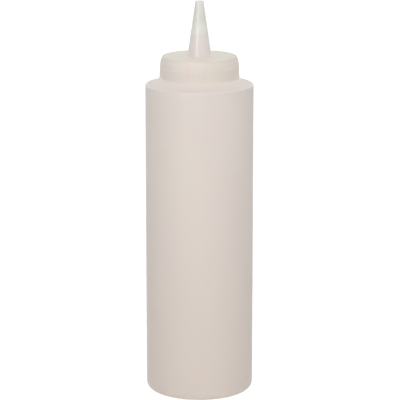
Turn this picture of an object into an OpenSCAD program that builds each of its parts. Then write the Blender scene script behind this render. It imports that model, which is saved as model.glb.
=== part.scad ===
/* [Bottle] */
// Outside diameter of the round body
body_d = 55; // [48:0.5:70]
// Height of the straight wall, from the table to the shoulder's edge
body_h = 160.2; // [90:0.1:240]
// Thickness of the blown wall
wall_t = 0.9; // [0.6:0.1:1.6]
// Radius of the rounded corner round the base
base_corner_r = 3.8; // [2.4:0.1:6]
// Width of the flat ring that the bottle stands on
stand_ring_w = 2.6; // [1.4:0.1:4]
// Height that the middle of the base is pushed up
push_up_h = 3.5; // [2:0.1:6]
// Width of the slope between the standing ring and the raised middle
push_up_slope_w = 5; // [3.5:0.1:9]
// Radius of the curve between the raised middle and its slope
push_up_r = 8; // [3:0.5:9]
// Radius of the rounded edge round the shoulder
shoulder_edge_r = 0.7; // [0.4:0.1:3]
// Rise of the sloping shoulder, from its edge to the neck
shoulder_rise = 2.8; // [1:0.1:10]
// Length of the raised seam that the closed mould pinched across the base
pinch_l = 24; // [8:1:30]
// Width of that seam
pinch_w = 0.9; // [0.5:0.1:1.6]
// Height of that seam
pinch_h = 0.5; // [0.2:0.1:1]

/* [Neck] */
// Diameter of the neck between the turns of its thread
neck_d = 34.9; // [28:0.1:40]
// Thickness of the neck's wall
neck_t = 1.7; // [1.2:0.1:2.4]
// Radius of the hollow curve where the shoulder turns into the neck
neck_fillet_r = 0.8; // [0.3:0.1:1.2]

/* [Screw thread] */
// Height that one whole turn lifts the cap
thread_lead = 4.233; // [3:0.001:5]
// Height of the ridge above the wall that carries it
thread_depth = 1.15; // [0.8:0.05:1.3]
// Slope of the ridge's sides, in degrees
thread_flank = 27.5; // [10:0.5:30]
// Turns of ridge on the neck
neck_turns = 1.05; // [0.75:0.05:1.25]
// Turns of ridge in the cap
cap_turns = 1.0; // [0.75:0.05:1.25]
// Height of bare lip above the neck's ridge
lip_h = 1.3; // [0.8:0.1:2]
// Height of bare skirt under the cap's ridge
skirt_lead_in = 0.35; // [0.2:0.05:1]
// Direction of the upper end of the neck's ridge, in degrees round from the right-hand side
thread_end_angle = -17; // [-180:1:180]
// Gap between a ridge's crest and the wall that faces it
thread_fit = 0.15; // [0.1:0.05:0.4]
// Gap between the sides of the two ridges that pull the cap down
thread_play = 0.12; // [0.05:0.01:0.5]

/* [Cap] */
// Height of the cap, from the skirt's lower edge to the flat top
cap_h = 11; // [9.5:0.1:20]
// Thickness of the skirt at its lower edge
skirt_t = 1.62; // [1.3:0.01:2.6]
// Slope of the skirt's outside, in degrees
skirt_draft = 3; // [0:0.5:5]
// Thickness of the flat top
top_t = 1.1; // [0.8:0.1:2.5]
// Gap between the skirt's lower edge and the top of the shoulder
skirt_gap = 0.6; // [0.5:0.1:3]
// Height of the rounded crown above the middle of its curve
crown_h = 2.3; // [1.6:0.1:3.5]
// Width that the crown takes off the flat top
crown_w = 1.1; // [0.6:0.1:2.5]
// Radius of the crown's curve
crown_r = 12; // [3:0.5:16]
// Number of upright grip ribs
rib_count = 90; // [36:2:120]
// Depth of the grooves between the ribs, at the skirt's lower edge
rib_depth = 0.37; // [0.1:0.01:0.6]

/* [Nozzle] */
// Height of the nozzle above the flat top
nozzle_h = 28; // [24:0.1:60]
// Diameter of the cone where it meets the flat top
nozzle_base_d = 12.3; // [9:0.1:24]
// Diameter of the cone at its tip
nozzle_tip_d = 4.1; // [3.5:0.1:8]
// Thickness of the cone's wall round its wide hollow
nozzle_t = 1.2; // [0.8:0.1:1.6]
// Diameter of the narrow outlet
outlet_d = 2.5; // [1:0.1:2.8]
// Length of the narrow outlet, down from the tip
outlet_l = 15.6; // [8:0.1:20]
// Length of the funnel between the wide hollow and the outlet
funnel_l = 1.6; // [0.8:0.1:3]
// Radius of the hollow curve where the cone meets the flat top
nozzle_fillet_r = 0.6; // [0.3:0.1:1]

/* [Seal ring] */
// Thickness of the seal ring
seal_t = 0.7; // [0.5:0.1:2]
// Gap between the seal ring and the inside of the skirt
seal_gap = 0.3; // [0.1:0.1:0.8]

/* [Hidden] */
$fn = 96;

// Furthest that a straight step of a rounded corner lies from the true curve
curve_error = 0.015;
// Straight steps in one turn of a ridge
ridge_steps = 60;
// Steps over which a ridge rises out of its wall at each end
ridge_fade = 4;
// Depth that a ridge's foot is sunk into its wall
ridge_sink = 0.4;
// Small roundings of moulded edges
fine_r = 0.3;
// Rounding of the seal ring's edges
seal_edge_r = 0.15;
// Length by which the ribbed column reaches past the cap at both ends
column_reach = 1;

body_r = body_d / 2;
ring_in_r = body_r - base_corner_r - stand_ring_w;
raised_r = ring_in_r - push_up_slope_w;
neck_r = neck_d / 2;
bore_r = neck_r - neck_t;
neck_root_z = body_h + shoulder_rise;
shoulder_fall = shoulder_rise / (body_r - neck_r);
shoulder_wall_h = wall_t * sqrt(1 + shoulder_fall * shoulder_fall);

cap_bottom_z = neck_root_z + skirt_gap;
cap_top_z = cap_bottom_z + cap_h;
underside_z = cap_top_z - top_t;
lip_z = underside_z - seal_t;
thread_r = neck_r + thread_depth;
skirt_in_r = thread_r + thread_fit;
skirt_r = skirt_in_r + skirt_t;
crown_z = cap_top_z - crown_h;
crown_skirt_r = skirt_r - (crown_z - cap_bottom_z) * tan(skirt_draft);
top_face_r = crown_skirt_r - crown_w;

ridge_w = thread_lead / 2;
ridge_crest_w = ridge_w - 2 * thread_depth * tan(thread_flank);
// Height between the middles of the two ridges where they bear on each other
ridge_offset = ridge_w - (thread_depth + thread_fit) * tan(thread_flank) + thread_play;
neck_ridge_z = lip_z - lip_h - ridge_w / 2;
cap_ridge_z = cap_bottom_z + skirt_lead_in + ridge_w / 2 + cap_turns * thread_lead;
cap_ridge_angle = thread_end_angle + 360 * (cap_ridge_z + ridge_offset - neck_ridge_z) / thread_lead;

nozzle_r = nozzle_base_d / 2;
tip_r = nozzle_tip_d / 2;
tip_z = cap_top_z + nozzle_h;
nozzle_taper = (nozzle_r - tip_r) / nozzle_h;
outlet_r = outlet_d / 2;
outlet_z = tip_z - outlet_l;
hollow_top_z = outlet_z - funnel_l;

// Height of the shoulder's outside at radius r
function shoulder_z(r) = body_h + (body_r - r) * shoulder_fall;

// Radius of the nozzle's outside at height z
function nozzle_r_at(z) = tip_r + (tip_z - z) * nozzle_taper;

function unit(v) = v / norm(v);

// Direction v turned by a quarter turn to its left
function left(v) = [-v.y, v.x];

// Point v turned by an angle about the origin
function turned(v, angle) = [v.x * cos(angle) - v.y * sin(angle), v.x * sin(angle) + v.y * cos(angle)];

// Corner b of the path a, b, c, moved to the left of the path by a distance
function moved_left(a, b, c, distance) =
    let (
        first = left(unit(b - a)),
        second = left(unit(c - b))
    )
    b + distance * (first + second) / (1 + first * second);

// Corner b between a and c, rounded with radius r
function rounded_corner(a, b, c, r) =
    let (
        to_a = unit(a - b),
        to_c = unit(c - b),
        half = acos(to_a * to_c) / 2,
        centre = b + unit(to_a + to_c) * r / sin(half),
        start = b + to_a * r / tan(half) - centre,
        way = left(to_c) * to_a > 0 ? 1 : -1,
        turn = 180 - 2 * half,
        steps = ceil(turn / (2 * acos(1 - curve_error / r)))
    )
    [for (i = [0:steps]) centre + turned(start, way * turn * i / steps)];

// Closed outline through corners of the form [r, z, rounding]
function outline(corners) =
    let (last = len(corners) - 1)
    [for (i = [0:last])
        let (
            a = corners[i == 0 ? last : i - 1],
            b = corners[i],
            c = corners[i == last ? 0 : i + 1]
        )
        each b[2] > 0
            ? rounded_corner([a.x, a.y], [b.x, b.y], [c.x, c.y], b[2])
            : [[b.x, b.y]]];

// Ridge that winds up round the axis, on the outside or the inside of a round wall
module screw_ridge(wall_r, crest_r, top_z, top_angle, turns) {
    way = crest_r > wall_r ? 1 : -1;
    steps = ceil(turns * ridge_steps);
    foot_r = wall_r - way * ridge_sink;
    end_r = wall_r - way * ridge_sink / 2;
    foot_half = way * (ridge_w / 2 + ridge_sink * tan(thread_flank));
    crest_half = way * ridge_crest_w / 2;
    points = [for (i = [0:steps])
        let (
            back = turns * (1 - i / steps),
            angle = top_angle - 360 * back,
            z = top_z - thread_lead * back,
            share = min(1, i / ridge_fade, (steps - i) / ridge_fade),
            r = end_r + (crest_r - end_r) * share
        )
        each [for (corner = [[foot_r, -foot_half], [r, -crest_half], [r, crest_half], [foot_r, foot_half]])
            [corner[0] * cos(angle), corner[0] * sin(angle), z + corner[1]]]];
    sides = [for (i = [0:steps - 1], k = [0:3])
        let (
            a = 4 * i + k,
            b = 4 * i + (k + 1) % 4
        )
        each [[a, b, b + 4], [a, b + 4, a + 4]]];
    last = 4 * steps;
    ends = [[3, 2, 1], [3, 1, 0], [last, last + 1, last + 2], [last, last + 2, last + 3]];
    polyhedron(points, concat(sides, ends), convexity = 10);
}

// Blown shell: pushed-up base, straight wall, sloping shoulder and plain neck
module bottle_shell() {
    base_middle = [0, push_up_h];
    raised_edge = [raised_r, push_up_h];
    ring_edge = [ring_in_r, 0];
    base_edge = [body_r, 0];
    inner_raised_edge = moved_left(base_middle, raised_edge, ring_edge, wall_t);
    inner_ring_edge = moved_left(raised_edge, ring_edge, base_edge, wall_t);
    inner_r = body_r - wall_t;
    rotate_extrude()
        polygon(outline([
            [0, push_up_h, 0],
            [raised_edge.x, raised_edge.y, push_up_r],
            [ring_edge.x, ring_edge.y, fine_r],
            [base_edge.x, base_edge.y, base_corner_r],
            [body_r, body_h, shoulder_edge_r],
            [neck_r, neck_root_z, neck_fillet_r],
            [neck_r, lip_z, fine_r],
            [bore_r, lip_z, fine_r],
            [bore_r, shoulder_z(bore_r) - shoulder_wall_h, neck_fillet_r],
            [inner_r, shoulder_z(inner_r) - shoulder_wall_h, shoulder_edge_r],
            [inner_r, wall_t, base_corner_r - wall_t],
            [inner_ring_edge.x, inner_ring_edge.y, fine_r],
            [inner_raised_edge.x, inner_raised_edge.y, push_up_r + wall_t],
            [0, push_up_h + wall_t, 0]
        ]));
}

// Straight seam across the raised base, where the mould closed the tube of soft plastic
module base_seam() {
    translate([0, 0, push_up_h - pinch_h]) {
        height = pinch_h + wall_t / 2;
        translate([-pinch_l / 2, -pinch_w / 2, 0])
            cube([pinch_l, pinch_w, height]);
        for (side = [-1, 1])
            translate([side * pinch_l / 2, 0, 0])
                cylinder(h = height, d = pinch_w);
    }
}

// Squeeze bottle: the shell, the seam under it and the screw ridge on its neck
module bottle() {
    color([0.88, 0.85, 0.81])
        union() {
            bottle_shell();
            base_seam();
            screw_ridge(neck_r, thread_r, neck_ridge_z, thread_end_angle, neck_turns);
        }
}

// Flat washer that lies on the neck's lip, under the cap's top
module seal_ring() {
    outer_r = skirt_in_r - seal_gap;
    color([0.94, 0.94, 0.92])
        rotate_extrude()
            polygon(outline([
                [bore_r, lip_z, seal_edge_r],
                [outer_r, lip_z, seal_edge_r],
                [outer_r, underside_z, seal_edge_r],
                [bore_r, underside_z, seal_edge_r]
            ]));
}

// Smooth moulding of skirt, crown, flat top and hollow nozzle
module cap_shell() {
    rotate_extrude()
        polygon(outline([
            [skirt_in_r, cap_bottom_z, fine_r],
            [skirt_r, cap_bottom_z, fine_r],
            [crown_skirt_r, crown_z, crown_r],
            [top_face_r, cap_top_z, fine_r],
            [nozzle_r, cap_top_z, nozzle_fillet_r],
            [tip_r, tip_z, fine_r],
            [outlet_r, tip_z, 0],
            [outlet_r, outlet_z, 0],
            [nozzle_r_at(hollow_top_z) - nozzle_t, hollow_top_z, fine_r],
            [nozzle_r_at(underside_z) - nozzle_t, underside_z, nozzle_fillet_r],
            [skirt_in_r, underside_z, fine_r]
        ]));
}

// Column whose outside is cut into upright ribs; the skirt leans in until it leaves the grooves
module rib_column() {
    groove_r = skirt_r - rib_depth;
    rib_r = skirt_r + rib_depth / 2;
    step = 180 / rib_count;
    translate([0, 0, cap_bottom_z - column_reach])
        linear_extrude(height = cap_h + nozzle_h + 2 * column_reach)
            polygon([for (i = [0:2 * rib_count - 1])
                let (r = i % 2 == 0 ? rib_r : groove_r)
                [r * cos(i * step), r * sin(i * step)]]);
}

// Screw cap with its nozzle, ribs and inner ridge
module dispensing_cap() {
    color([0.86, 0.83, 0.79])
        union() {
            intersection() {
                cap_shell();
                rib_column();
            }
            screw_ridge(skirt_in_r, neck_r + thread_fit, cap_ridge_z, cap_ridge_angle, cap_turns);
        }
}

bottle();
seal_ring();
dispensing_cap();
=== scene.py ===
# %% [markdown]
# # A squeeze bottle for sauce, with a screw cap and a cone nozzle
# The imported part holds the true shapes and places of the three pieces: the blown bottle,
# the seal ring and the moulded cap. This lesson loads them as a fixed frame, models the two
# pieces that show once more with finer meshes in the same places, and gives every surface
# its own plastic. Sizes are in millimetres, as on a drawing, and become metres where a
# point is made.

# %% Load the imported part
import math

import bmesh
import bpy
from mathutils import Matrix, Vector


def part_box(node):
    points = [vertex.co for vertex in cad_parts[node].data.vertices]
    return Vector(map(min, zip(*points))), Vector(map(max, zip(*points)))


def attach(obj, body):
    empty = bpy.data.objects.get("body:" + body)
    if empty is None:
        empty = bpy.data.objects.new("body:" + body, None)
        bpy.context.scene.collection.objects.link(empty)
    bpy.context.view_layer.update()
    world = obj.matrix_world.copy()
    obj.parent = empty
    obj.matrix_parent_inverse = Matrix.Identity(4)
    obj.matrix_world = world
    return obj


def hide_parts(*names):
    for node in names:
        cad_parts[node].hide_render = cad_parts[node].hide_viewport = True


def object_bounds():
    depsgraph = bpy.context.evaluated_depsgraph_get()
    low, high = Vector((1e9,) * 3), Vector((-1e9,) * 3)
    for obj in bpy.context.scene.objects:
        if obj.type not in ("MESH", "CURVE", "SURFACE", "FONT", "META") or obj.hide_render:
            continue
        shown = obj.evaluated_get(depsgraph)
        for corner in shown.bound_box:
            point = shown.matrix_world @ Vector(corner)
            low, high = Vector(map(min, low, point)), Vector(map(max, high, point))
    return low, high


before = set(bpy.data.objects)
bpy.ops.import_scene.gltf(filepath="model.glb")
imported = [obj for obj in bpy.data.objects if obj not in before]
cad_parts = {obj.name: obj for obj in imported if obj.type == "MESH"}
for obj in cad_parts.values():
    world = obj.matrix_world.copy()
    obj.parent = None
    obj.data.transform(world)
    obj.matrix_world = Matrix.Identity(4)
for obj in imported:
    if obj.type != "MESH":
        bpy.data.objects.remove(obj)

MM = 0.001
cad_low, cad_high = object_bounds()
print("CAD box in mm:", [round(x / MM, 2) for x in (*cad_low, *cad_high)])

# %% [markdown]
# ## The camera
# The photograph was taken from in front and a little above, from far away with a long
# lens: the sides of the bottle run almost parallel and the round top looks like a narrow
# ellipse. A camera close by would make the bottle taper strongly, so the distance, the
# height and the lens were worked out together from the widths of the body at its top and
# its bottom and from how round the cap's ellipse is.

# %% Place the camera
CAMERA_BACK = 1136.4
CAMERA_UP = 359.5
CAMERA_TILT = 12.876  # degrees down from level
CAMERA_LENS = 204.3
CAMERA_SHIFT = 0.0013  # share of the picture's width
CAMERA_REACH = 20  # metres

bpy.ops.object.camera_add(
    location=(0, -CAMERA_BACK * MM, CAMERA_UP * MM),
    rotation=(math.radians(90 - CAMERA_TILT), 0, 0),
)
camera = bpy.context.object
camera.data.lens = CAMERA_LENS
camera.data.shift_x = CAMERA_SHIFT
camera.data.clip_end = CAMERA_REACH
bpy.context.scene.camera = camera
bpy.context.scene.view_settings.view_transform = "Standard"
print("camera lens", camera.data.lens, "mm, at", tuple(camera.location))

# %% [markdown]
# ## Maths on materials
# Every finish below is a small graph of nodes. Wiring each node by hand is long and hard to
# read, so one small class wraps an output socket: `+`, `-` and `*` on it add Math nodes,
# and `add` makes any other node from its settings and its inputs. The graphs then read like
# formulas.

# %% A wrapper for sockets
class Wire:
    """One output of a node. Sums on it add Math nodes to the same node tree."""

    def __init__(self, tree, socket=None):
        self.tree, self.socket = tree, socket

    def add(self, kind, settings=(), inputs=(), output=0):
        """Makes a node, sets its settings and then its inputs, and wraps one output."""
        node = self.tree.nodes.new(kind)
        for name, value in dict(settings).items():
            setattr(node, name, value)
        for name, value in dict(inputs).items():
            if isinstance(value, Wire):
                self.tree.links.new(value.socket, node.inputs[name])
            else:
                node.inputs[name].default_value = value
        return Wire(self.tree, node.outputs[output] if node.outputs else None)

    def maths(self, operation, *others):
        """A Math node on this output and others."""
        inputs = dict(enumerate([self, *others]))
        return self.add("ShaderNodeMath", {"operation": operation}, inputs)

    def __add__(self, other):
        return self.maths("ADD", other)

    def __mul__(self, other):
        return self.maths("MULTIPLY", other)

    def __sub__(self, other):
        return self.maths("SUBTRACT", other)

    def __rsub__(self, other):
        return (self * -1) + other

    __radd__ = __add__
    __rmul__ = __mul__

    def between(self, low, high):
        """0 up to low and 1 from high on, with a soft rise between; low may be the larger."""
        return self.add(
            "ShaderNodeMapRange",
            {"interpolation_type": "SMOOTHSTEP"},
            {"Value": self, "From Min": low, "From Max": high},
        )

    def mix(self, first, second):
        """Colour first where this is 0 and second where it is 1."""
        return self.add(
            "ShaderNodeMix",
            {"data_type": "RGBA"},
            {0: self, 6: first, 7: second},  # 6, 7 and the output 2 are those for colours
            output=2,
        )


def new_material(name):
    """An empty material and the wire that its nodes start from."""
    material = bpy.data.materials.new(name)
    material.use_nodes = True
    material.node_tree.nodes.clear()
    return material, Wire(material.node_tree)


# %% [markdown]
# ## Light, floor and background
# The photograph has a pure white ground and very even light: walls, crown and top are equally
# pale, and the body only falls off in tone towards both sides. So most of the light comes
# from a sky that is dimmer to the left and the right, and a broad softbox in front adds a
# little on what faces the camera. A narrow strip to the left draws the streak on the nozzle
# and the faint highlight on the shoulder's edge; it shows only in gloss, so its strength can
# be set without a change to the rest. The white comes from the sky and the floor as the
# camera sees them, not from more light on the bottle, so its own pale colour isn't burnt
# out. Gloss sees the same white ground, and the floor keeps a faint shadow where the bottle
# stands. From below the floor is clear, so that the base can be looked at.

# %% Light the scene
SKY_STRENGTH = 0.985
SIDE_FALL = 0.84  # share of the sky's light that is missing straight to the left and right
LAMP_DISTANCE = 1000
# Name, degrees round from the camera and above level, width, height, watts, and whether it
# lights the scene or only shines in its gloss
LAMPS = [
    ("softbox", -1, 12, 1000, 400, 2.0, True),
    ("strip", -28, 16, 130, 760, 2.8, False),
]

world = bpy.data.worlds.new("studio")
world.use_nodes = True
world.node_tree.nodes.clear()
bpy.context.scene.world = world
sky = Wire(world.node_tree)


def ray_is(wire, *kinds):
    """1 where the ray is of one of the kinds and 0 elsewhere."""
    rays = [wire.add("ShaderNodeLightPath", output=f"Is {kind} Ray") for kind in kinds]
    found = rays[0]
    for ray in rays[1:]:
        found = found.maths("MAXIMUM", ray)
    return found


def seen_directly(wire):
    """1 for what the camera sees, also in gloss or through something clear, 0 for lighting."""
    return ray_is(wire, "Camera", "Glossy", "Transmission")


direction = sky.add("ShaderNodeTexCoord", output="Generated")
sideways = sky.add("ShaderNodeSeparateXYZ", {}, {0: direction}, output="X")
even = SKY_STRENGTH * (1 - SIDE_FALL * sideways * sideways)
strength = even + (1 - even) * seen_directly(sky)
ground = sky.add(
    "ShaderNodeBackground", {}, {"Strength": strength, "Color": (1, 1, 1, 1)}
)
sky.add("ShaderNodeOutputWorld", {}, {"Surface": ground})

middle = (cad_low + cad_high) / 2
for name, around, above, width, height, watts, lights in LAMPS:
    around, above = math.radians(around), math.radians(above)
    level = Vector((math.sin(around), -math.cos(around), 0)) * math.cos(above)
    towards = level + Vector((0, 0, math.sin(above)))
    bpy.ops.object.light_add(type="AREA", location=middle + towards * LAMP_DISTANCE * MM)
    lamp = bpy.context.object
    lamp.name = name
    lamp.rotation_euler = towards.to_track_quat("Z", "Y").to_euler()
    lamp.data.shape = "RECTANGLE"
    lamp.data.size, lamp.data.size_y, lamp.data.energy = width * MM, height * MM, watts
    lamp.visible_diffuse, lamp.visible_glossy = lights, not lights
    print(name, "at", [round(x, 3) for x in lamp.location])

# %% Lay the floor
FLOOR_SIZE = 12000
FLOOR_SHADE = 0.86
FLOOR_SPREAD = 0.01  # how far the paper's grain strays from that shade
FLOOR_GRAIN = 400.0
FLOOR_DETAIL = 3.0
FLOOR_LIFT = 0.65  # share of white in what the camera sees of the floor
FLOOR_WHITE = 1.36  # strength of that white


def grey(shade):
    """A colour without a hue."""
    return (shade, shade, shade, 1)


bpy.ops.object.select_all(action="DESELECT")
bpy.ops.mesh.primitive_plane_add(size=FLOOR_SIZE * MM)
floor = bpy.context.object
floor.name = "floor"
paper, wire = new_material("white_paper")
grain = wire.add(
    "ShaderNodeTexNoise", {}, {"Scale": FLOOR_GRAIN, "Detail": FLOOR_DETAIL}, output="Fac"
)
shade = grain.mix(grey(FLOOR_SHADE - FLOOR_SPREAD), grey(FLOOR_SHADE + FLOOR_SPREAD))
matt = wire.add("ShaderNodeBsdfDiffuse", {}, {"Color": shade})
white = wire.add("ShaderNodeEmission", {}, {"Strength": FLOOR_WHITE})
lifted = wire.add(
    "ShaderNodeMixShader", {}, {0: FLOOR_LIFT * seen_directly(wire), 1: matt, 2: white}
)
clear = wire.add("ShaderNodeBsdfTransparent")
below = wire.add("ShaderNodeNewGeometry", output="Backfacing")
surface = wire.add("ShaderNodeMixShader", {}, {0: below, 1: lifted, 2: clear})
wire.add("ShaderNodeOutputMaterial", {}, {"Surface": surface})
floor.data.materials.append(paper)
print("floor in mm:", [round(x / MM) for x in floor.dimensions])

# %% [markdown]
# ## From half an outline to a round piece
# Both pieces are round, so each starts as half of its cross-section: a chain of points that
# is extruded corner by corner in front view, and then spun about the upright axis. The
# other way, stacking cylinders, leaves seams inside the wall; a spun outline is one closed
# skin with the true wall thickness. The real mould has no sharp corner, so each corner is
# first rounded with its own radius.

# %% Helpers for outlines
CORNER_STEP = 9  # degrees of turn for each straight step of a rounded corner
WELD = 0.001  # vertices closer than this become one
NEAR = 0.1  # a vertex this close to a corner is taken for it


def rounded_corner(before, corner, after, radius):
    """Points along the arc of that radius that rounds a corner of an outline."""
    to_before = (before - corner).normalized()
    to_after = (after - corner).normalized()
    half = to_before.angle(to_after) / 2
    centre = corner + (to_before + to_after).normalized() * radius / math.sin(half)
    start = corner + to_before * radius / math.tan(half) - centre
    end = corner + to_after * radius / math.tan(half) - centre
    turn = math.pi - 2 * half
    steps = max(2, math.ceil(math.degrees(turn) / CORNER_STEP))
    arc = []
    for i in range(steps + 1):
        of_start, of_end = math.sin(turn * (1 - i / steps)), math.sin(turn * i / steps)
        arc.append(centre + (start * of_start + end * of_end) / math.sin(turn))
    return arc


def rounded_outline(corners):
    """The points of a closed outline from corners of the form (r, z, rounding)."""
    points = []
    for i, (r, z, rounding) in enumerate(corners):
        before = Vector(corners[i - 1][:2])
        after = Vector(corners[(i + 1) % len(corners)][:2])
        here = Vector((r, z))
        points += rounded_corner(before, here, after, rounding) if rounding else [here]
    return points


def with_rings(points, low, high, gap):
    """The outline with points at most a gap apart on what lies between two heights."""
    filled = [points[0]]
    for there in points[1:]:
        here = filled[-1]
        lowest, highest = sorted((here.y, there.y))
        if lowest >= low - gap and highest <= high + gap:
            parts = math.ceil(abs(there.y - here.y) / gap)
            filled += [here.lerp(there, i / parts) for i in range(1, parts)]
        filled.append(there)
    return filled


def edit(piece):
    """Opens one piece alone in edit mode, with nothing selected."""
    bpy.ops.object.select_all(action="DESELECT")
    piece.select_set(True)
    bpy.context.view_layer.objects.active = piece
    bpy.ops.object.mode_set(mode="EDIT")
    bpy.ops.mesh.select_mode(type="VERT")
    bpy.ops.mesh.select_all(action="DESELECT")


def draw_outline(name, points):
    """A chain of edges through the points, seen from in front and left in edit mode."""
    bpy.ops.object.select_all(action="DESELECT")
    bpy.ops.mesh.primitive_plane_add(size=MM)
    piece = bpy.context.object
    piece.name = piece.data.name = name
    edit(piece)
    bpy.ops.mesh.select_all(action="SELECT")
    bpy.ops.mesh.merge(type="CENTER")
    here = Vector((points[0].x, 0, points[0].y))
    bpy.ops.transform.translate(value=here * MM)
    for point in points[1:]:
        there = Vector((point.x, 0, point.y))
        way = (there - here) * MM
        bpy.ops.mesh.extrude_region_move(TRANSFORM_OT_translate={"value": way})
        here = there
    return piece


def spin_round(piece, columns):
    """Spins the outline a whole turn, closes the skin and turns its faces outwards."""
    bpy.ops.mesh.select_all(action="SELECT")
    bpy.ops.mesh.spin(steps=columns, angle=math.tau, center=(0, 0, 0), axis=(0, 0, 1))
    bpy.ops.mesh.select_all(action="SELECT")
    bpy.ops.mesh.remove_doubles(threshold=WELD * MM)
    bpy.ops.mesh.normals_make_consistent(inside=False)
    bpy.ops.object.mode_set(mode="OBJECT")


def pick(piece, wanted):
    """Selects and counts the vertices whose place, in millimetres, is wanted."""
    mesh = bmesh.from_edit_mesh(piece.data)
    for vertex in mesh.verts:
        vertex.select_set(bool(wanted(vertex.co / MM)))
    mesh.select_flush_mode()
    bmesh.update_edit_mesh(piece.data)
    return sum(vertex.select for vertex in mesh.verts)


def report(piece):
    """Prints a piece's size, whether it is closed, and the volume of its plastic."""
    mesh = bmesh.new()
    mesh.from_mesh(piece.data)
    open_edges = sum(not edge.is_manifold for edge in mesh.edges)
    print(
        f"{piece.name}: {len(mesh.faces)} faces, {open_edges} open edges,",
        f"{mesh.calc_volume(signed=True) / MM ** 3:.0f} mm3, box",
        [round(x / MM, 2) for x in piece.dimensions],
    )
    mesh.free()


# %% [markdown]
# ## The bottle
# The bottle is blown: a soft tube of polyethylene is shut in a mould and blown out against
# it, which leaves a thin even wall, a base that is pushed up so that it stands on a ring,
# and a nearly flat shoulder with a small rounded edge. The outline goes up the outside and
# back down the inside, so the wall has its real thickness and light passes through it as
# through the real one.

# %% Sizes of the bottle
BODY_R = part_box("bottle")[1].x / MM
BODY_H = 160.2
WALL = 0.9
BASE_CORNER_R = 3.8
STAND_RING_W = 2.6
PUSH_UP_H = 3.5
PUSH_UP_SLOPE_W = 5
PUSH_UP_R = 8
SHOULDER_EDGE_R = 0.7
SHOULDER_RISE = 2.8
NECK_R = 17.45
NECK_WALL = 1.7
NECK_FILLET_R = 0.8
FINE_R = 0.3
LIP_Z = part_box("bottle")[1].z / MM
PARTING_RIDGE = 0.04

wall_r = BODY_R - PARTING_RIDGE
ring_in_r = BODY_R - BASE_CORNER_R - STAND_RING_W
raised_r = ring_in_r - PUSH_UP_SLOPE_W
bore_r = NECK_R - NECK_WALL
neck_root_z = BODY_H + SHOULDER_RISE
shoulder_fall = SHOULDER_RISE / (BODY_R - NECK_R)
inner_r = wall_r - WALL


def shoulder_inside_z(r):
    """Height of the shoulder's inner face at radius r."""
    return BODY_H + (BODY_R - r) * shoulder_fall - WALL * math.hypot(1, shoulder_fall)


def moved_left(before, corner, after, distance):
    """A path's corner, moved to the left so that both stretches move by the distance."""
    first = Vector(corner) - Vector(before)
    second = Vector(after) - Vector(corner)
    first = Vector((-first.y, first.x)).normalized()
    second = Vector((-second.y, second.x)).normalized()
    return Vector(corner) + distance * (first + second) / (1 + first.dot(second))


# %% Draw and spin the bottle
base_path = [(0, PUSH_UP_H), (raised_r, PUSH_UP_H), (ring_in_r, 0), (BODY_R, 0)]
inner_raised = moved_left(*base_path[0:3], WALL)
inner_ring = moved_left(*base_path[1:4], WALL)
bottle_corners = [
    (0, PUSH_UP_H, 0),
    (raised_r, PUSH_UP_H, PUSH_UP_R),
    (ring_in_r, 0, FINE_R),
    (wall_r, 0, BASE_CORNER_R),
    (wall_r, BODY_H, SHOULDER_EDGE_R),
    (NECK_R, neck_root_z, NECK_FILLET_R),
    (NECK_R, LIP_Z, FINE_R),
    (bore_r, LIP_Z, FINE_R),
    (bore_r, shoulder_inside_z(bore_r), NECK_FILLET_R),
    (inner_r, shoulder_inside_z(inner_r), SHOULDER_EDGE_R),
    (inner_r, WALL, BASE_CORNER_R - WALL),
    (*inner_ring, FINE_R),
    (*inner_raised, PUSH_UP_R + WALL),
    (0, PUSH_UP_H + WALL, 0),
]
BOTTLE_COLUMNS = 240
WALL_RING_GAP = 12
bottle = draw_outline(
    "bottle_blown", with_rings(rounded_outline(bottle_corners), 0, BODY_H, WALL_RING_GAP)
)
spin_round(bottle, BOTTLE_COLUMNS)
report(bottle)

# %% [markdown]
# ## The parting lines
# The two halves of the blow mould meet in the plane of the left and right sides, and a
# hair of plastic is pressed into the joint. It is a fine upright ridge on both sides. The
# wall was drawn a hair too small for it, so that the ridge reaches the bottle's true size.
# One column of the outer skin on each side is picked and scaled away from the middle.

# %% Raise the parting lines
PARTING_REACH = 0.05  # how far from the plane of the joint a vertex still counts

edit(bottle)


def on_parting_line(place):
    """True on the outer skin at the left and the right, from the base to the shoulder."""
    upright = BASE_CORNER_R < place.z < BODY_H - SHOULDER_EDGE_R + FINE_R
    return upright and abs(place.y) < PARTING_REACH and abs(place.x) > inner_r + WALL / 2


picked = pick(bottle, on_parting_line)
bpy.ops.transform.resize(value=(BODY_R / wall_r, 1, 1), center_override=(0, 0, 0))
bpy.ops.object.mode_set(mode="OBJECT")
print("parting lines:", picked, "vertices moved")

# %% [markdown]
# ## Screw ridges
# The cap is held by one coarse ridge round the neck and a second one inside the skirt. A
# ridge is a small slanting bar that winds up round the axis. It could be made with the
# Screw modifier, but the real ridge runs out softly at both ends, so here its section is
# extruded step by step along the spiral: each step turns about the axis, climbs by its
# share of the lead, and near the ends the section shrinks into the wall that carries it.

# %% Wind a ridge
THREAD_LEAD = 4.233
THREAD_DEPTH = 1.15
THREAD_FLANK = 27.5  # degrees
THREAD_FIT = 0.15  # gap between a ridge's crest and the wall that it faces
THREAD_PLAY = 0.12  # gap between the two ridges' flanks, along the axis
THREAD_END = -17  # where the neck's ridge ends at the top, in degrees round from the right
NECK_TURNS = 1.05
CAP_TURNS = 1.0
LIP_H = 1.3  # plain height between that end and the lip
RIDGE_SINK = 0.4
RIDGE_STEP = 4  # degrees of turn for each step of a ridge
RIDGE_RUN_OUT = 24  # degrees over which a ridge runs out
RIDGE_TIP = 0.08  # size of the section at the very end, as a share
RIDGE_EDGE_R = 0.22
RIDGE_EDGE_STEPS = 3

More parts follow.
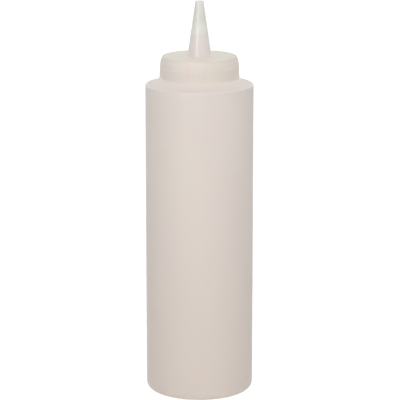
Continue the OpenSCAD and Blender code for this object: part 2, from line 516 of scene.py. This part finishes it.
flank = math.tan(math.radians(THREAD_FLANK))
ridge_w = THREAD_LEAD / 2
crest_w = ridge_w - 2 * THREAD_DEPTH * flank
thread_r = NECK_R + THREAD_DEPTH


def wind_ridge(name, carrier_r, crest_r, top_z, top_angle, turns):
    """A ridge on the outside or the inside of a round wall, closed at both ends."""
    way = 1 if crest_r > carrier_r else -1
    foot_r = carrier_r - way * RIDGE_SINK
    foot_w = ridge_w + 2 * RIDGE_SINK * flank
    start = math.radians(top_angle) - math.tau * turns
    bpy.ops.object.select_all(action="DESELECT")
    bpy.ops.mesh.primitive_plane_add(size=MM, rotation=(math.pi / 2, 0, 0))
    ridge = bpy.context.object
    ridge.name = name
    bpy.ops.object.transform_apply(rotation=True)
    edit(ridge)
    corners = {
        (-1, -1): (foot_r, -foot_w / 2),
        (-1, 1): (foot_r, foot_w / 2),
        (1, -1): (crest_r, -crest_w / 2),
        (1, 1): (crest_r, crest_w / 2),
    }
    for (side, level), (r, z) in corners.items():
        start_at = Vector((side / 2, 0, level / 2))
        pick(ridge, lambda place: (place - start_at).length < NEAR)
        bpy.ops.transform.translate(value=(Vector((r, 0, z)) - start_at) * MM)
    pick(ridge, lambda place: abs(place.x - crest_r) < NEAR)
    bpy.ops.mesh.bevel(
        offset=RIDGE_EDGE_R * MM, segments=RIDGE_EDGE_STEPS, affect="VERTICES"
    )
    bpy.ops.mesh.select_all(action="SELECT")
    steps = math.ceil(turns * 360 / RIDGE_STEP)
    turn = math.tau * turns / steps
    climb = THREAD_LEAD * turns / steps
    low_z = top_z - THREAD_LEAD * turns

    def share(step):
        """Size of the section at that step, which falls off over the run-out."""
        degrees = min(step, steps - step) * math.degrees(turn)
        grown = math.sin(math.pi / 2 * min(1, degrees / RIDGE_RUN_OUT)) ** 2
        return RIDGE_TIP + (1 - RIDGE_TIP) * grown

    def foot(step):
        """The middle of the section's foot at that step."""
        angle, z = start + turn * step, low_z + climb * step
        return Vector((math.cos(angle) * foot_r, math.sin(angle) * foot_r, z)) * MM

    bpy.ops.transform.resize(value=(share(0),) * 3, center_override=(foot_r * MM, 0, 0))
    bpy.ops.transform.rotate(value=-start, orient_axis="Z", center_override=(0, 0, 0))
    bpy.ops.transform.translate(value=(0, 0, low_z * MM))
    for step in range(1, steps + 1):
        bpy.ops.mesh.extrude_region_move()
        bpy.ops.transform.rotate(value=-turn, orient_axis="Z", center_override=(0, 0, 0))
        bpy.ops.transform.translate(value=(0, 0, climb * MM))
        growth = share(step) / share(step - 1)
        if growth != 1:
            bpy.ops.transform.resize(value=(growth,) * 3, center_override=foot(step))
    bpy.ops.mesh.select_all(action="SELECT")
    bpy.ops.mesh.normals_make_consistent(inside=False)
    bpy.ops.object.mode_set(mode="OBJECT")
    report(ridge)
    return ridge


def join_solids(piece, extra):
    """Makes one closed skin of two overlapping solids and removes the second."""
    bpy.ops.object.select_all(action="DESELECT")
    piece.select_set(True)
    bpy.context.view_layer.objects.active = piece
    bpy.ops.object.modifier_add(type="BOOLEAN")
    union = piece.modifiers[-1]
    union.operation, union.solver, union.object = "UNION", "EXACT", extra
    bpy.ops.object.modifier_apply(modifier=union.name)
    bpy.data.objects.remove(extra)


neck_ridge_z = LIP_Z - LIP_H - ridge_w / 2
neck_ridge = wind_ridge("neck_ridge", NECK_R, thread_r, neck_ridge_z, THREAD_END, NECK_TURNS)
join_solids(bottle, neck_ridge)
report(bottle)

# %% [markdown]
# ## The pinched seam under the base
# Where the mould closes on the soft tube it welds it shut and cuts it off, which leaves a
# short straight bead across the middle of the raised base. It is a block with its ends and
# its lower edges bevelled round, joined to the shell.

# %% Add the seam
PINCH_L = 24
PINCH_W = 0.9
PINCH_H = 0.5
PINCH_EDGE_R = 0.2
PINCH_END_R = PINCH_W / 2 * 0.98  # just under half the width, so that no face folds over
PINCH_END_STEPS = 6
PINCH_EDGE_STEPS = 3

bpy.ops.object.select_all(action="DESELECT")
pinch_low, pinch_high = PUSH_UP_H - PINCH_H, PUSH_UP_H + WALL / 2
bpy.ops.mesh.primitive_cube_add(size=MM, location=(0, 0, (pinch_low + pinch_high) / 2 * MM))
seam = bpy.context.object
seam.name = "base_seam"
bpy.ops.transform.resize(value=(PINCH_L + PINCH_W, PINCH_W, pinch_high - pinch_low))
bpy.ops.object.transform_apply(location=True, scale=True)
edit(seam)
bpy.ops.mesh.select_mode(type="EDGE")


def bevel_edges(wanted, radius, steps):
    """Rounds the edges of the seam whose two ends, at those heights, are wanted."""
    mesh = bmesh.from_edit_mesh(seam.data)
    for edge in mesh.edges:
        edge.select_set(wanted(*(vertex.co.z / MM for vertex in edge.verts)))
    bmesh.update_edit_mesh(seam.data)
    bpy.ops.mesh.bevel(offset=radius * MM, segments=steps)


bevel_edges(lambda z1, z2: abs(z1 - z2) > NEAR, PINCH_END_R, PINCH_END_STEPS)
bevel_edges(lambda z1, z2: max(z1, z2) < pinch_low + WELD, PINCH_EDGE_R, PINCH_EDGE_STEPS)
bpy.ops.object.mode_set(mode="OBJECT")
join_solids(bottle, seam)
report(bottle)

# %% [markdown]
# ## The cap
# The cap is injection moulded in one piece: a ribbed skirt, a rounded crown, a flat top and
# a long cone. The cone is hollow and thin-walled in its lower half and has only a narrow
# outlet through its thick upper half, which is why that half looks whiter. A plain rim
# stands out a little all round the skirt's lower edge. All of this is one closed outline, up
# the outside and back down through the outlet, spun like the bottle.

# %% Sizes of the cap
SKIRT_WALL = 1.62
SKIRT_DRAFT = 3  # degrees
TOP_WALL = 1.1
CROWN_H = 2.3
CROWN_W = 1.1
CROWN_R = 12
NOZZLE_H = 28
NOZZLE_BASE_R = 6.15
NOZZLE_TIP_R = 2.05
NOZZLE_WALL = 1.2
NOZZLE_FILLET_R = 0.6
OUTLET_R = 1.25
OUTLET_L = 15.6
FUNNEL_L = 1.6

cap_low, cap_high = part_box("dispensing_cap")
cap_bottom_z = cap_low.z / MM
tip_z = cap_high.z / MM
cap_top_z = tip_z - NOZZLE_H
underside_z = cap_top_z - TOP_WALL
skirt_in_r = thread_r + THREAD_FIT
skirt_r = skirt_in_r + SKIRT_WALL
crown_z = cap_top_z - CROWN_H
lean = math.tan(math.radians(SKIRT_DRAFT))
crown_skirt_r = skirt_r - (crown_z - cap_bottom_z) * lean
outlet_z = tip_z - OUTLET_L
hollow_top_z = outlet_z - FUNNEL_L
taper = (NOZZLE_BASE_R - NOZZLE_TIP_R) / NOZZLE_H


def nozzle_r_at(z):
    """Radius of the nozzle's outside at height z."""
    return NOZZLE_TIP_R + (tip_z - z) * taper


# %% Draw and spin the cap
CAP_COLUMNS = 360
SKIRT_RING_GAP = 0.9
RIM_H = 0.8  # height of the flared rim round the skirt's lower edge
RIM_EDGE = 0.2  # height of the upright band below the flare
RIM_STEP = 0.16  # how far the rim stands out
rim_top_z = cap_bottom_z + RIM_H
cap_corners = [
    (skirt_in_r, cap_bottom_z, FINE_R),
    (skirt_r, cap_bottom_z, RIM_EDGE / 2),
    (skirt_r, cap_bottom_z + RIM_EDGE, FINE_R),
    (skirt_r - RIM_STEP, rim_top_z, FINE_R),
    (crown_skirt_r, crown_z, CROWN_R),
    (crown_skirt_r - CROWN_W, cap_top_z, FINE_R),
    (NOZZLE_BASE_R, cap_top_z, NOZZLE_FILLET_R),
    (NOZZLE_TIP_R, tip_z, FINE_R),
    (OUTLET_R, tip_z, 0),
    (OUTLET_R, outlet_z, 0),
    (nozzle_r_at(hollow_top_z) - NOZZLE_WALL, hollow_top_z, FINE_R),
    (nozzle_r_at(underside_z) - NOZZLE_WALL, underside_z, NOZZLE_FILLET_R),
    (skirt_in_r, underside_z, FINE_R),
]
cap_points = rounded_outline(cap_corners)
cap_points = with_rings(cap_points + cap_points[:1], cap_bottom_z, crown_z, SKIRT_RING_GAP)
cap = draw_outline("cap_moulded", cap_points)
spin_round(cap, CAP_COLUMNS)
report(cap)

# %% [markdown]
# ## Grip ribs
# The skirt carries very fine upright ribs for the fingers. The grooves between them start
# just above a plain rim at the lower edge and die out in the rounded crown. Each rib takes
# four columns of the spun skin: ring by ring, the middle column of each groove is scaled in
# by the groove's depth at that height, and the columns on its sides by half of it.

# %% Press in the grooves
RIB_COUNT = 90
RIB_DEPTH = 0.16
GROOVE_START = RIM_H + 0.25  # height above the lower edge where the grooves start
GROOVE_FULL = RIM_H + 0.6  # and where they are full
GROOVE_END = 0.5  # height below the flat top where they have died out
SAME_HEIGHT = 0.002
SAME_RADIUS = 0.01

columns_per_rib = CAP_COLUMNS // RIB_COUNT
outer_skirt_r = skirt_in_r + SKIRT_WALL / 2
outer_crown_r = crown_skirt_r - CROWN_W - NEAR
rings = {}  # radius of each ring of the outer skin, by its height
for vertex in cap.data.vertices:
    ring_r, ring_z = math.hypot(*vertex.co.xy) / MM, round(vertex.co.z / MM, 3)
    if ring_r > (outer_crown_r if ring_z > crown_z else outer_skirt_r):
        rings[ring_z] = max(ring_r, rings.get(ring_z, 0))
edit(cap)


def groove_depth(z):
    """Depth of the grooves at height z."""
    low, full = cap_bottom_z + GROOVE_START, cap_bottom_z + GROOVE_FULL
    high = cap_top_z - GROOVE_END
    rise = min(1, max(0, (z - low) / (full - low)))
    fall = min(1, max(0, (high - z) / (high - crown_z)))
    return RIB_DEPTH * rise * fall


def column_of(place):
    """Which of a rib's four columns a place lies on."""
    columns_round = math.atan2(place.y, place.x) / math.tau * CAP_COLUMNS
    return round(columns_round) % columns_per_rib


def press(ring_z, ring_r, columns, depth):
    """Scales those columns of one ring in by a depth, and counts the vertices."""
    if depth < WELD:
        return 0

    def in_groove(place):
        level = abs(place.z - ring_z) < SAME_HEIGHT
        outside = abs(math.hypot(place.x, place.y) - ring_r) < SAME_RADIUS
        return level and outside and column_of(place) in columns

    found = pick(cap, in_groove)
    factor = 1 - depth / ring_r
    bpy.ops.transform.resize(value=(factor, factor, 1), center_override=(0, 0, 0))
    return found


moved = 0
for ring_z, ring_r in rings.items():
    depth = groove_depth(ring_z)
    moved += press(ring_z, ring_r, (1, 3), depth / 2)
    moved += press(ring_z, ring_r, (2,), depth)
bpy.ops.object.mode_set(mode="OBJECT")
print("grooves:", moved, "vertices moved on", len(rings), "rings")

# %% [markdown]
# ## The ridge inside the skirt
# This is the mate of the ridge on the neck. It winds close below it, so that its upper
# flank bears on the lower flank of the neck's ridge and pulls the cap down on its seal.

# %% Wind the inner ridge
SKIRT_LEAD_IN = 0.35

ridge_offset = ridge_w - (THREAD_DEPTH + THREAD_FIT) * flank + THREAD_PLAY
cap_ridge_z = cap_bottom_z + SKIRT_LEAD_IN + ridge_w / 2 + CAP_TURNS * THREAD_LEAD
cap_ridge_angle = THREAD_END + 360 * (cap_ridge_z + ridge_offset - neck_ridge_z) / THREAD_LEAD
cap_ridge = wind_ridge(
    "cap_ridge", skirt_in_r, NECK_R + THREAD_FIT, cap_ridge_z, cap_ridge_angle, CAP_TURNS
)
join_solids(cap, cap_ridge)
report(cap)

# %% Shade both pieces smoothly
SMOOTH_BELOW = 35  # degrees between faces that shade as one curve
for piece in (bottle, cap):
    bpy.ops.object.select_all(action="DESELECT")
    piece.select_set(True)
    bpy.context.view_layer.objects.active = piece
    bpy.ops.object.shade_smooth_by_angle(angle=math.radians(SMOOTH_BELOW))
    sharp = sum(edge.use_edge_sharp for edge in piece.data.edges)
    print(piece.name, "keeps", sharp, "sharp edges of", len(piece.data.edges))

# %% [markdown]
# ## Natural polyethylene
# The plastic has no pigment. It is milky because light scatters inside it, so the shader
# scatters light under the surface over a millimetre or two. Much of the light also comes out
# on the other side, which keeps the inside of the bottle and the slit under the cap bright.
# A path tracer finds that light too slowly, so each skin lets a share of the light rays
# straight through, while the camera still sees it closed. A flat colour would look like
# paint: the real wall is a little denser in some places than in others, has fine upright
# flow lines from the blowing, and a satin skin from the mould.

# %% Helpers for the finishes
SCATTER = (1.0, 0.9, 0.8)  # how far red, green and blue light spread, as shares
SCATTER_DEPTH = 1.6  # how far the light that spreads most gets
PLASTIC_IOR = 1.51
LET_THROUGH = 0.97  # share of the shadow and diffuse rays that pass a skin
THROUGH_TINT = (1.0, 0.99, 0.98, 1)
CLOUD_STRETCH = (1, 1, 0.45)  # clouds are about twice as tall as wide
CLOUD_RANGE = (0.35, 0.65)
GRAIN_H = 0.004
RELIEF_STRENGTH = 0.5


def millimetres(wire, stretch=(1, 1, 1)):
    """The place on the piece in millimetres, for patterns."""
    place = wire.add("ShaderNodeTexCoord", output="Object")
    return wire.add(
        "ShaderNodeMapping", {}, {"Vector": place, "Scale": Vector(stretch) / MM}
    )


def noise(wire, place, size, detail=2.0):
    """Soft random shade from 0 to 1 whose patches are about that many millimetres across."""
    inputs = {"Vector": place, "Scale": 1 / size, "Detail": detail}
    return wire.add("ShaderNodeTexNoise", {}, inputs, output="Fac")


def band(height, start, full, fade, end):
    """1 between the heights full and fade, with a soft fall to 0 at start and end."""
    return height.between(start, full) * height.between(end, fade)


def finish_surface(wire, skin):
    """The output of a surface that the camera sees closed, but that most light passes."""
    share = LET_THROUGH * ray_is(wire, "Shadow", "Diffuse")
    clear = wire.add("ShaderNodeBsdfTransparent", {}, {"Color": THROUGH_TINT})
    both = wire.add("ShaderNodeMixShader", {}, {0: share, 1: skin, 2: clear})
    wire.add("ShaderNodeOutputMaterial", {}, {"Surface": both})


def plastic(wire, colour, roughness, relief):
    """The shader of the milky plastic and its output; the relief is in millimetres."""
    normal = wire.add("ShaderNodeBump", {}, {
        "Strength": RELIEF_STRENGTH, "Distance": MM, "Height": relief,
    })
    skin = wire.add("ShaderNodeBsdfPrincipled", {"subsurface_method": "RANDOM_WALK"}, {
        "Base Color": colour,
        "Roughness": roughness,
        "Normal": normal,
        "IOR": PLASTIC_IOR,
        "Subsurface Weight": 1.0,
        "Subsurface Radius": SCATTER,
        "Subsurface Scale": SCATTER_DEPTH * MM,
    })
    finish_surface(wire, skin)


def report_finish(material):
    """Prints a finish's name and how many nodes it took."""
    print("finish", material.name + ":", len(material.node_tree.nodes), "nodes")


# %% [markdown]
# ## The blown skin of the bottle
# The wall is painted darker towards the foot, as painted shade, and paler on the shoulder, as
# painted light that lifts the shade under the cap. Its skin is nearly matt; only the
# shoulder's edge, which the mould pressed hardest, is smoother and catches a line of light.

# %% The plastic of the bottle
WALL_TONES = (0.755, 0.70, 0.675, 1), (0.76, 0.715, 0.675, 1)  # of its faint clouds
# Painted shade: the wall darkens towards the foot
FOOT_PAINTED_SHADE_TONE = (0.705, 0.65, 0.61, 1)
FOOT_PAINTED_SHADE_END = 170  # height at which nothing of it is left
# Painted light: a paler shoulder that lifts the shade under the cap
SHOULDER_PAINTED_LIGHT_TONE = (0.84, 0.77, 0.74, 1)
FLOW_TONE = (0.74, 0.685, 0.655, 1)
FLOW_SHARE = 0.25
WALL_CLOUD = 26
FLOW_LINE = 2.2
FLOW_STRETCH = (1, 1, 0.03)
FLOW_DETAIL = 3.0
FLOW_H = 0.01
WALL_GRAIN = 0.5
WALL_ROUGHNESS = 0.48
GRAIN_ROUGHER = 0.10  # what the grain adds to it where it is strongest
CLOUDS_ROUGHER = 0.05
EDGE_SMOOTHER = 0.25
# Heights where the smooth line on the shoulder's edge starts, is full, fades and has ended
EDGE_BAND = BODY_H - 1.2, BODY_H - 0.3, BODY_H + 0.2, BODY_H + 0.6

bottle_plastic, wire = new_material("natural_plastic_blown")
place = millimetres(wire)
height = wire.add("ShaderNodeSeparateXYZ", {}, {0: place}, output="Z")
clouds = noise(wire, millimetres(wire, CLOUD_STRETCH), WALL_CLOUD).between(*CLOUD_RANGE)
flow = noise(wire, millimetres(wire, FLOW_STRETCH), FLOW_LINE, FLOW_DETAIL)
grain = noise(wire, place, WALL_GRAIN)

tone = clouds.mix(*WALL_TONES)
# Painted shade towards the foot
tone = height.between(FOOT_PAINTED_SHADE_END, 0).mix(tone, FOOT_PAINTED_SHADE_TONE)
# Painted light on the shoulder, lifting the shade under the cap
tone = height.between(BODY_H, neck_root_z).mix(tone, SHOULDER_PAINTED_LIGHT_TONE)
colour = (flow * FLOW_SHARE).mix(tone, FLOW_TONE)

roughness = WALL_ROUGHNESS + GRAIN_ROUGHER * grain + CLOUDS_ROUGHER * clouds
roughness = roughness - EDGE_SMOOTHER * band(height, *EDGE_BAND)
plastic(wire, colour, roughness, grain * GRAIN_H + flow * FLOW_H)
report_finish(bottle_plastic)

# %% [markdown]
# ## The moulded skin of the cap
# The thick upper half of the nozzle is whiter than the hollow half, as its plastic is
# thicker. Where the hollow ends a band is brighter still, partly paler plastic and partly a
# painted highlight. The crown is a little darker than the skirt and the flat top a little
# yellower, but next to the nozzle the top is pinker and painted lighter, as painted light that
# lifts the shade at the nozzle's foot. The nozzle is smooth, the skirt satin and the flat top
# nearly matt.

# %% The plastic of the cap
SKIRT_TONES = (0.77, 0.705, 0.67, 1), (0.77, 0.725, 0.67, 1)  # of its faint clouds
CROWN_TONE = (0.745, 0.685, 0.645, 1)
TOP_TONE = (0.785, 0.75, 0.66, 1)
# Pinker, and painted lighter to lift the shade at the nozzle's foot
NOZZLE_FOOT_PINK_AND_PAINTED_LIGHT_TONE = (0.81, 0.745, 0.715, 1)  # on the flat top, next to the nozzle
HOLLOW_TONE = (0.785, 0.735, 0.715, 1)
THICK_TONE = (0.76, 0.75, 0.705, 1)
# Paler plastic and a painted highlight where the hollow ends
PALER_AND_PAINTED_HIGHLIGHT_TONE = (0.87, 0.855, 0.80, 1)
PALER_AND_PAINTED_HIGHLIGHT_SHARE = 0.6
CAP_CLOUD = 11
CAP_GRAIN = 0.4
# Heights between which each zone of the cap fades in
CROWN_ZONE = crown_z, cap_top_z - 0.3
TOP_ZONE = cap_top_z - 0.25, cap_top_z - 0.05
NOZZLE_ZONE = cap_top_z + 0.3, cap_top_z + 1.5
THICK_ZONE = hollow_top_z - 2, outlet_z + 3
# Heights where the band of paler plastic and painted highlight starts, is full, fades and has
# ended
PALER_AND_PAINTED_HIGHLIGHT_BAND = hollow_top_z - 1, outlet_z + 2, outlet_z + 2, outlet_z + 7
AROUND_NOZZLE = NOZZLE_BASE_R + 1, NOZZLE_BASE_R + 6  # where the top turns yellower

cap_plastic, wire = new_material("natural_plastic_moulded")
place = millimetres(wire)
aside, back, height = (
    wire.add("ShaderNodeSeparateXYZ", {}, {0: place}, output=axis) for axis in "XYZ"
)
clouds = noise(wire, millimetres(wire, CLOUD_STRETCH), CAP_CLOUD).between(*CLOUD_RANGE)
grain = noise(wire, place, CAP_GRAIN)
crown = height.between(*CROWN_ZONE)
top = height.between(*TOP_ZONE)
nozzle = height.between(*NOZZLE_ZONE)
thick = height.between(*THICK_ZONE)
paler_and_painted_highlight = band(height, *PALER_AND_PAINTED_HIGHLIGHT_BAND)
away = (aside * aside + back * back).between(*(r ** 2 for r in AROUND_NOZZLE))

tone = crown.mix(clouds.mix(*SKIRT_TONES), CROWN_TONE)
tone = (top * away).mix(tone, TOP_TONE)
# Painted light: the top next to the nozzle is lighter, lifting the shade at its foot, and
# pinker
tone = (top * (1 - away)).mix(tone, NOZZLE_FOOT_PINK_AND_PAINTED_LIGHT_TONE)
tone = thick.mix(nozzle.mix(tone, HOLLOW_TONE), THICK_TONE)
# Partly paler plastic, partly a painted highlight where the hollow ends
colour = (paler_and_painted_highlight * PALER_AND_PAINTED_HIGHLIGHT_SHARE).mix(tone, PALER_AND_PAINTED_HIGHLIGHT_TONE)

# %% [markdown]
# ## The thread behind the skirt
# The ridge on the neck shows through the skirt as a faint pale line that climbs once round.
# Its place follows from the ridge's own sizes. The angle round the axis gives the height of
# the spiral: up to the ridge's top end the line lies at that height, and beyond it, where the
# ridge starts, one lead lower.

# %% The ghost of the thread
GHOST_TONE = (0.86, 0.82, 0.77, 1)
GHOST_SHARE = 0.4
GHOST_BLUR = 0.5  # how far the line fades out above and below the ridge's crest
GHOST_PATCH = 7
GHOST_RANGE = (0.35, 0.6)
GHOST_H = 0.03
TOP_END_FADE = (0.1, -0.1)  # radians from the top end between which the upper line fades in
START_FADE = (-0.4, -0.2)  # and the lower line
SKIRT_ROUGHNESS = 0.38
CAP_GRAIN_ROUGHER = 0.08
NOZZLE_SMOOTHER = 0.22
TOP_ROUGHER = 0.1


def near_crest(above):
    """1 in front of the middle of the ridge, falling off to 0 above and below it."""
    return above.maths("ABSOLUTE").between(crest_w / 2 + GHOST_BLUR, 0)


angle = back.maths("ARCTAN2", aside)
end = math.radians(THREAD_END)
above = height - neck_ridge_z - THREAD_LEAD / math.tau * (angle - end)
upper = near_crest(above) * angle.between(*(end + turn for turn in TOP_END_FADE))
lower = near_crest(above + THREAD_LEAD) * angle.between(*(end + turn for turn in START_FADE))
patchy = noise(wire, place, GHOST_PATCH).between(*GHOST_RANGE)
ghost = (upper + lower) * patchy * height.between(rim_top_z, rim_top_z + 1)

colour = (ghost * GHOST_SHARE).mix(colour, GHOST_TONE)
roughness = SKIRT_ROUGHNESS + CAP_GRAIN_ROUGHER * grain - NOZZLE_SMOOTHER * nozzle
roughness = roughness + TOP_ROUGHER * (top - nozzle)
plastic(wire, colour, roughness, grain * GRAIN_H + ghost * GHOST_H)
report_finish(cap_plastic)

# %% [markdown]
# ## The foam of the seal ring
# The washer under the cap's top is hidden until the cap is off. It is pressed from closed
# foam, so it is a paler, fully matt white with tiny cells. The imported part's own mesh is
# right for it, and only gets this finish.

# %% The foam
FOAM_TONES = (0.86, 0.86, 0.84, 1), (0.78, 0.78, 0.76, 1)  # of a cell's middle and its edge
CELLS_PER_MM = 3.0
CELL_EDGE = 0.7
CELL_DEPTH = 0.05
CELL_STRENGTH = 0.6
FOAM_ROUGHNESS = 0.8
CELL_ROUGHER = 0.1

foam, wire = new_material("pressed_foam")
place = millimetres(wire)
cells = wire.add(
    "ShaderNodeTexVoronoi", {}, {"Vector": place, "Scale": CELLS_PER_MM}, output="Distance"
)
bump = wire.add("ShaderNodeBump", {}, {
    "Strength": CELL_STRENGTH, "Distance": CELL_DEPTH * MM, "Height": cells,
})
skin = wire.add("ShaderNodeBsdfPrincipled", {}, {
    "Base Color": cells.between(0.0, CELL_EDGE).mix(*FOAM_TONES),
    "Roughness": FOAM_ROUGHNESS + CELL_ROUGHER * cells,
    "Normal": bump,
})
finish_surface(wire, skin)
report_finish(foam)

# %% [markdown]
# ## Onto the frame
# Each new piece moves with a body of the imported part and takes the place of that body's own
# mesh, which is hidden. The seal ring keeps its mesh.

# %% Hang everything on the frame
bottle.data.materials.append(bottle_plastic)
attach(bottle, "bottle")
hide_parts("bottle")

cap.data.materials.append(cap_plastic)
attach(cap, "cap")
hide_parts("dispensing_cap")

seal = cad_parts["seal_ring"]
for slot in seal.material_slots:
    slot.material = foam
print("new:", bottle.name, "and", cap.name, "- kept with a new finish:", seal.name)
